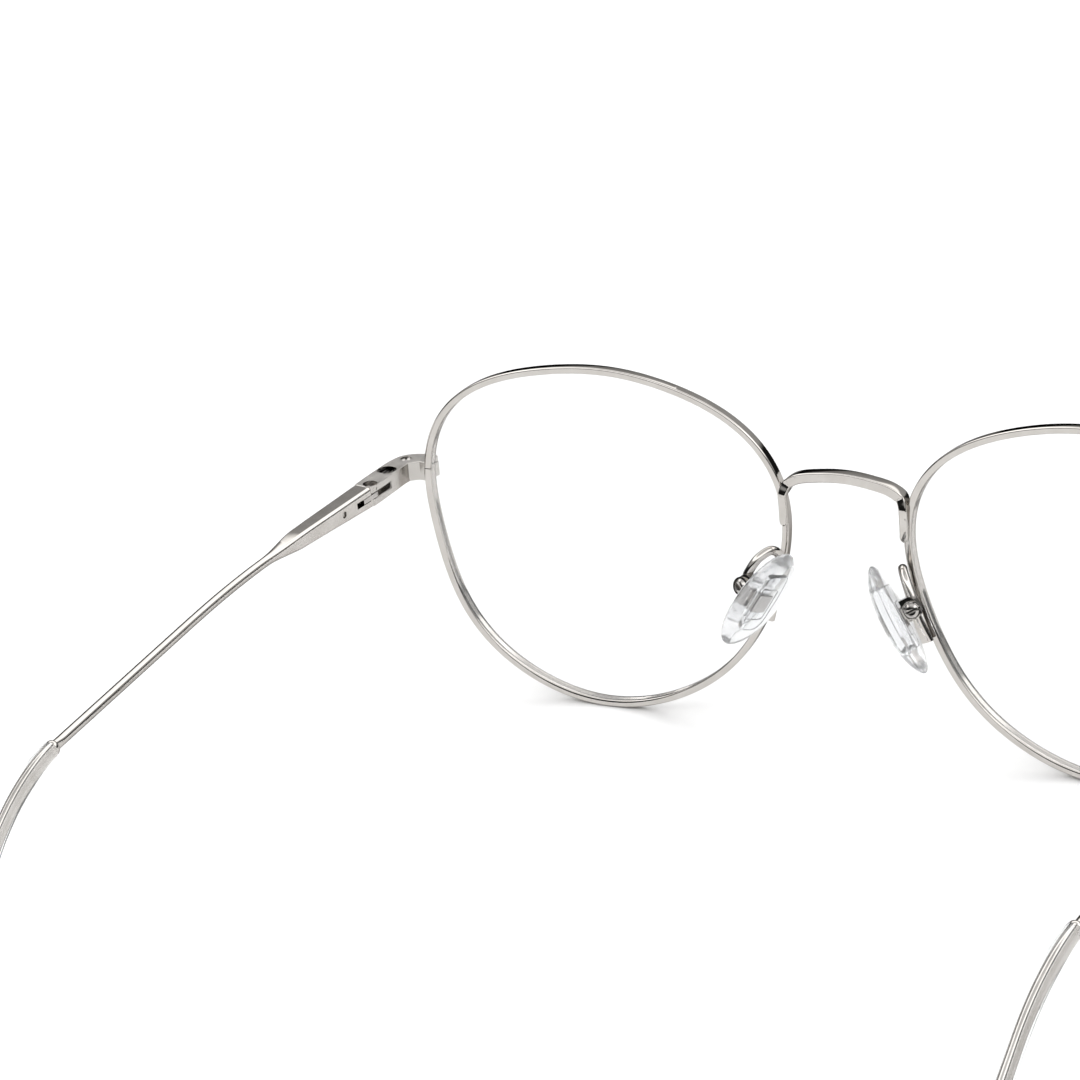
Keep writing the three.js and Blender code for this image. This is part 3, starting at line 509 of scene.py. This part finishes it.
def temple_section(distance):
    """The spring housing narrows to the wire, and the wire is flattened inside the tip."""
    y = distance + TEMPLE_START
    narrowing = smooth(y, TAPER_START, BOX_END)
    flattening = smooth(y, SLEEVE_START - 3, SLEEVE_START)
    thick = (BAR_OUTER - BAR_INNER) / 2 - HOUSING_THINNING * (y - SEAM)
    tall = BAR_HALF_HEIGHT - HOUSING_LOWERING * (y - SEAM)
    half_width = mixed(mixed(thick, WIRE_RADIUS, narrowing), CORE_HALF_WIDTH, flattening)
    half_height = mixed(mixed(tall, WIRE_RADIUS, narrowing), CORE_HALF_HEIGHT, flattening)
    limit = min(half_width, half_height) * 0.995
    corner = min(limit, mixed(HOUSING_CORNER, WIRE_RADIUS, narrowing))
    inner_top = min(limit, mixed(HOUSING_INNER_TOP, WIRE_RADIUS, narrowing))
    return box_section(half_width, half_height, corner, inner_top)


def along_temple(start, end, count):
    return [temple_point(mixed(start, end, k / (count - 1))) for k in range(count)]


def make_temple_arm(side):
    end = SLEEVE_START - TEMPLE_START + CORE_LENGTH
    rings = swept(along_temple(0, end, 260), (1, 0, 0), lambda share: temple_section(share * end))
    matrix = to_row(BAR, side)
    arm = finished(skinned(rings), "temple_arm", matrix)
    half = SLOT_HEIGHT / 2
    slot = block((BAR_INNER - 1, BAR_INNER + SLOT_DEPTH), (0, SLOT_END), (-half, half), matrix)
    bore = drill(BORE_RADIUS, (BAR_MIDDLE, BUSH_START - 0.06, 0), (BAR_MIDDLE, BORE_END, 0), matrix)
    mouth_width = (BAR_MIDDLE - 0.4, BAR_MIDDLE + 0.4)
    mouth = block(mouth_width, (SLOT_END - 1, BUSH_START + 0.1), (-0.38, 0.38), matrix)
    catch = drill(CATCH_HOLE_RADIUS, (-5, CATCH_PIN_Y, 0), (BAR_MIDDLE, CATCH_PIN_Y, 0), matrix)
    carved(arm, slot, bore, mouth, catch)
    arm.data.set_sharp_from_angle(angle=math.radians(30))
    return arm


def tip_section(share):
    growth = smooth(share, 0, 0.12)
    paddle = smooth(share, 0.25, 0.75)
    ending = math.sqrt(max(0.0016, 1 - max(0.0, (share - 0.93) / 0.07) ** 2))
    half_width = (1.05 + 0.15 * growth) * ending
    half_height = (1.1 + 0.25 * growth + 0.8 * paddle) * ending
    return oval(half_width, half_height)


def make_tip(side):
    start = SLEEVE_START - TEMPLE_START
    stops = [k / 110 for k in range(104)] + [1 - 0.055 * (1 - k / 14) ** 2 for k in range(15)]
    stops = sorted(set(stops))
    points = [temple_point(mixed(start, LINE_LENGTH, share)) for share in stops]
    sections = iter(stops)
    rings = swept(points, (1, 0, 0), lambda share: tip_section(next(sections)))
    return finished(skinned(rings), "tip", to_row(BAR, side))


def make_collar(side):
    start = SLEEVE_START - TEMPLE_START
    points = [temple_point(start - 0.78 + 0.73 * k / 12) for k in range(13)]
    rounding = [0.86 + 0.14 * math.sqrt(1 - (2 * k / 12 - 1) ** 2) for k in range(13)]
    sizes = iter(rounding)

    def section(share):
        size = next(sizes)
        return oval(0.97 * size, 1.04 * size)

    return finished(skinned(swept(points, (1, 0, 0), section)), "collar", to_row(BAR, side), sharp=40)


# ---- Nose pads -----------------------------------------------------------------------------------

def make_pad_arm(side):
    def section(share):
        root = max(0.0, 1 - share / 0.25)
        return oval(PAD_ARM_RADIUS * (1 + 0.55 * root), PAD_ARM_RADIUS, 32)

    rings = swept(catmull_rom(PAD_ARM_LINE, 120), (1, 0, 0.3), section)
    return finished(skinned(rings), "pad_arm", to_row(FRONT, side))


def make_nose_pad(side):
    corners = [
        (0.0, -PAD_FRONT), (0.25, -PAD_FRONT * 0.97), (0.5, -PAD_FRONT * 0.86), (0.74, -PAD_FRONT * 0.62),
        (0.92, -PAD_FRONT * 0.28), (1.0, 0.12), (0.97, 0.5), (0.86, 0.86), (0.7, PAD_BACK_FACE - 0.04),
        (0.5, PAD_BACK_FACE), (0.0, PAD_BACK_FACE - 0.05),
    ]
    profile = catmull_rom([(x, y, 0) for x, y in corners], 46)[1:-1]
    rings = []
    for x, y, _ in profile:
        rings.append([
            Vector((x * PAD_WIDTH / 2 * math.cos(a), y, x * PAD_LENGTH / 2 * math.sin(a)))
            for a in (2 * math.pi * k / 96 for k in range(96))
        ])
    return finished(skinned(rings), "pad", to_row(PAD, side), sharp=60)


CORE_OUTLINE = ((1.75, -4.6, 0.7), (1.75, 4.2, 1.2), (-1.75, 4.2, 1.2), (-1.75, -4.6, 0.7))
CORE_FLANGE = ((1.3, -2.3, 0.3), (1.3, 2.5, 0.3), (-1.3, 2.5, 0.3), (-1.3, -2.3, 0.3))


def make_pad_core(side):
    """The stiff clear plate inside the soft pad, stepped up around the metal insert."""
    def layer(outline, depth, inset):
        grown = [(x - math.copysign(inset, x), z - math.copysign(inset, z), r) for x, z, r in outline]
        return [Vector((p.x, depth, p.y)) for p in filleted(grown)]

    rings = [
        layer(CORE_OUTLINE, -0.55, 0.1), layer(CORE_OUTLINE, -0.45, 0), layer(CORE_OUTLINE, 0.1, 0),
        layer(CORE_OUTLINE, 0.2, 0.1), layer(CORE_FLANGE, 0.2, 0), layer(CORE_FLANGE, 0.7, 0),
        layer(CORE_FLANGE, 0.8, 0.1),
    ]
    core = evened(finished(skinned(rings), f"pad_core_{side}_shape", to_row(PAD, side)))
    core.data.materials.append(CORE_CLEAR)
    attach(core, BODIES[f"nose_pad_{side}"])
    return core


# ---- Small machined pieces, from their CAD solids ------------------------------------------------

ROUNDED_FROM = math.radians(28)
LONG_EDGE = 0.8


def machined(cad_node, edge, outline=None):
    """A CAD solid with its flat faces merged and its edges rounded, the long ones by `outline` if given."""
    widest = outline or edge
    bm = bmesh.new()
    bm.from_mesh(frame["nodes"][cad_node].data)
    bmesh.ops.remove_doubles(bm, verts=bm.verts, dist=2e-6)
    bmesh.ops.dissolve_limit(
        bm, angle_limit=math.radians(1), verts=bm.verts, edges=bm.edges, use_dissolve_boundaries=False,
    )
    weight = bm.edges.layers.float.new("bevel_weight_edge")
    for line in bm.edges:
        if line.is_manifold and line.calc_face_angle() > ROUNDED_FROM:
            long = outline and line.calc_length() > LONG_EDGE * MM
            line[weight] = 1.0 if long or not outline else edge / widest
    mesh = bpy.data.meshes.new(cad_node)
    bm.to_mesh(mesh)
    bm.free()
    piece = dressed(mesh, cad_node + "_shape", 30)
    change = piece.modifiers.new("edges", "BEVEL")
    change.width = widest * MM
    change.segments = 4
    change.limit_method = "WEIGHT"
    change.use_clamp_overlap = outline is None
    change.harden_normals = True
    return applied(piece)


# The radius of the rounded edges of each piece
MACHINED = {
    "endpiece": 0.03, "closing_block": 0.07, "rim_lock_screw": 0.05, "cover_screw": 0.06, "hinge_screw": 0.05,
    "hinge_washer": 0.01, "hinge_tongue": 0.05, "hinge_bush": 0.03, "hinge_spring": 0.0, "catch_pin": 0.05,
    "pad_box": 0.08, "pad_screw": 0.05, "pad_insert": 0.05,
}
ENDPIECE_OUTLINE = 0.13

placed(make_bridge(), "bridge")
for side in ("left", "right"):
    placed(finished(skinned(rim_rings()), "rim", to_row(LENS, side)), f"rim_{side}")
    placed(finished(skinned(lens_rings()), "lens", to_row(LENS, side)), f"lens_{side}")
    placed(make_pad_arm(side), f"pad_arm_{side}")
    placed(make_nose_pad(side), f"nose_pad_{side}")
    make_pad_core(side)
    placed(make_temple_arm(side), f"temple_arm_{side}")
    placed(make_collar(side), f"tip_collar_{side}")
    placed(make_tip(side), f"temple_tip_{side}")
    for kind, edge in MACHINED.items():
        outline = ENDPIECE_OUTLINE if kind == "endpiece" else None
        placed(machined(f"{kind}_{side}", edge, outline), f"{kind}_{side}")

# ---- Studio --------------------------------------------------------------------------------------

bm = bmesh.new()
bmesh.ops.create_grid(bm, x_segments=4, y_segments=4, size=4.0)
floor = finished(bm, "studio_floor", Matrix.Identity(4))
floor.data.materials.append(
    surface("floor", ((0.9, 0.9, 0.9), (0.92, 0.92, 0.92)), (0.55, 0.65), (2, 1, 0.002))
)

world = bpy.data.worlds.new("studio")
bpy.context.scene.world = world
world.use_nodes = True
tree = world.node_tree
direction = tree.nodes.new("ShaderNodeTexCoord")
split = tree.nodes.new("ShaderNodeSeparateXYZ")
ramp = tree.nodes.new("ShaderNodeValToRGB")
tree.links.new(direction.outputs["Generated"], split.inputs["Vector"])
tree.links.new(split.outputs["Z"], ramp.inputs["Fac"])
tree.links.new(ramp.outputs["Color"], tree.nodes["Background"].inputs["Color"])
# The sine of the elevation, and how bright the studio is there
BANDS = ((0.0, 0.015), (0.24, 0.015), (0.29, 0.5), (0.48, 0.54), (0.53, 2.1), (0.8, 2.1), (0.9, 0.6))
for i, (position, shade) in enumerate(BANDS):
    elements = ramp.color_ramp.elements
    element = elements[i] if i < 2 else elements.new(position)
    element.position = position
    element.color = (shade, shade, shade, 1)
tree.nodes["Background"].inputs["Strength"].default_value = 1.0

lamp = bpy.data.lights.new("overhead", "AREA")
lamp.shape = "RECTANGLE"
lamp.size, lamp.size_y = 1.2, 1.2
lamp.energy = 1.5
softbox = bpy.data.objects.new("overhead", lamp)
softbox.location = (-0.3, 0.2, 1.3)
softbox.rotation_euler = (Vector((0, 0, 0)) - softbox.location).to_track_quat("-Z", "Y").to_euler()
bpy.context.scene.collection.objects.link(softbox)

# ---- Camera --------------------------------------------------------------------------------------

FOCAL_LENGTH = 143.29
CAMERA_PLACE = (-0.214465, 0.397092, 0.259052)
CAMERA_RIGHT = Vector((-0.885743, -0.457961, -0.075707))
CAMERA_UP = Vector((0.125892, -0.393997, 0.910449))

lens = bpy.data.cameras.new("camera")
lens.sensor_width = 36
lens.lens = FOCAL_LENGTH
lens.clip_start = 0.01
camera = bpy.data.objects.new("camera", lens)
camera.matrix_world = (
    Matrix.Translation(CAMERA_PLACE)
    @ Matrix((CAMERA_RIGHT, CAMERA_UP, CAMERA_RIGHT.cross(CAMERA_UP))).transposed().to_4x4()
)
bpy.context.scene.collection.objects.link(camera)
bpy.context.scene.camera = camera
bpy.context.scene.view_settings.view_transform = "Standard"

bpy.context.view_layer.update()
